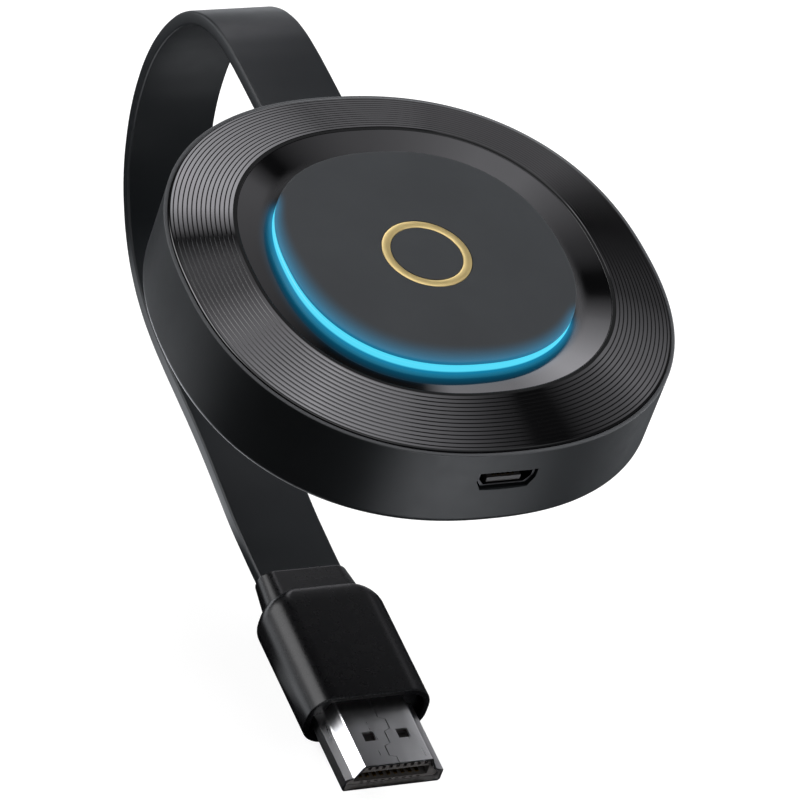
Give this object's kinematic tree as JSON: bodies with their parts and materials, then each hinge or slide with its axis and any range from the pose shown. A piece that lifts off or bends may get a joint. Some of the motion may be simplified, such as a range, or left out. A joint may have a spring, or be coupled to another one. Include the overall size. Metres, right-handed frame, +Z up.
{
  "type": "wireless display adapter",
  "caption": "Rounded-square puck with a ridged glossy top, lit push button, power socket, and a short flat cable ending in a full-size display plug.",
  "frame": {"origin": "centre of the display plug's metal shell, in the plane of its overmould's front rim", "axes": "-Y is the way the plug goes into a display's socket; +Z is up, normal to the puck's button face; +X is to the right seen from the power socket's side"},
  "size_m": [0.064, 0.1013, 0.0645],
  "materials": {
    "shell_black": "fine matt moulded",
    "gloss_black": "high gloss",
    "light_cyan": "clear, lit from below",
    "button_black": "satin matt",
    "gold": "satin gold",
    "board_green": "solder mask",
    "steel": "bright",
    "chip_black": "moulded",
    "pad_grey": "soft",
    "aluminium": "plain",
    "can_tin": "tinned",
    "contact_gold": "gold plated",
    "ceramic": "ceramic",
    "lamp_white": "clear",
    "plunger_cream": "moulded",
    "socket_steel": "plated",
    "socket_plastic": "moulded",
    "cable_black": "smooth matt",
    "clamp_black": "moulded",
    "copper": "bare copper",
    "grip_black": "satin matt",
    "plug_steel": "nickel plated",
    "insulator_black": "moulded"
  },
  "bodies": {
    "housing": {"base_shell": "shell_black", "ridged_ring": "gloss_black", "dish_ring": "gloss_black", "light_guide": "light_cyan", "main_board": "board_green", "board_screws": "steel", "processor": "chip_black", "thermal_pad": "pad_grey", "heat_spreader": "aluminium", "memory_chip": "chip_black", "flash_chip": "chip_black", "radio_shield": "can_tin", "antenna": "contact_gold", "power_coil": "chip_black", "crystal_can": "can_tin", "chip_capacitors": "ceramic", "indicator_lamps": "lamp_white", "switch_body": "chip_black", "power_socket_shell": "socket_steel", "power_socket_tongue": "socket_plastic", "power_socket_contacts": "contact_gold", "cable_tail": "cable_black", "cable_clamp": "clamp_black", "clamp_screws": "steel", "signal_wires": "copper", "flat_cable": "cable_black", "cable_boot": "grip_black", "plug_overmould": "grip_black", "plug_shell": "plug_steel", "plug_insulator": "insulator_black", "plug_contacts": "contact_gold"},
    "button": {"button_cap": "button_black", "gold_ring": "gold", "switch_plunger": "plunger_cream"}
  },
  "joints": [
    {"name": "button_press", "type": "slide", "parent": "housing", "child": "button", "axis": [0, 0, 1], "range_m": [-0.0004, 0], "stiffness_N_per_m": 4000}
  ]
}
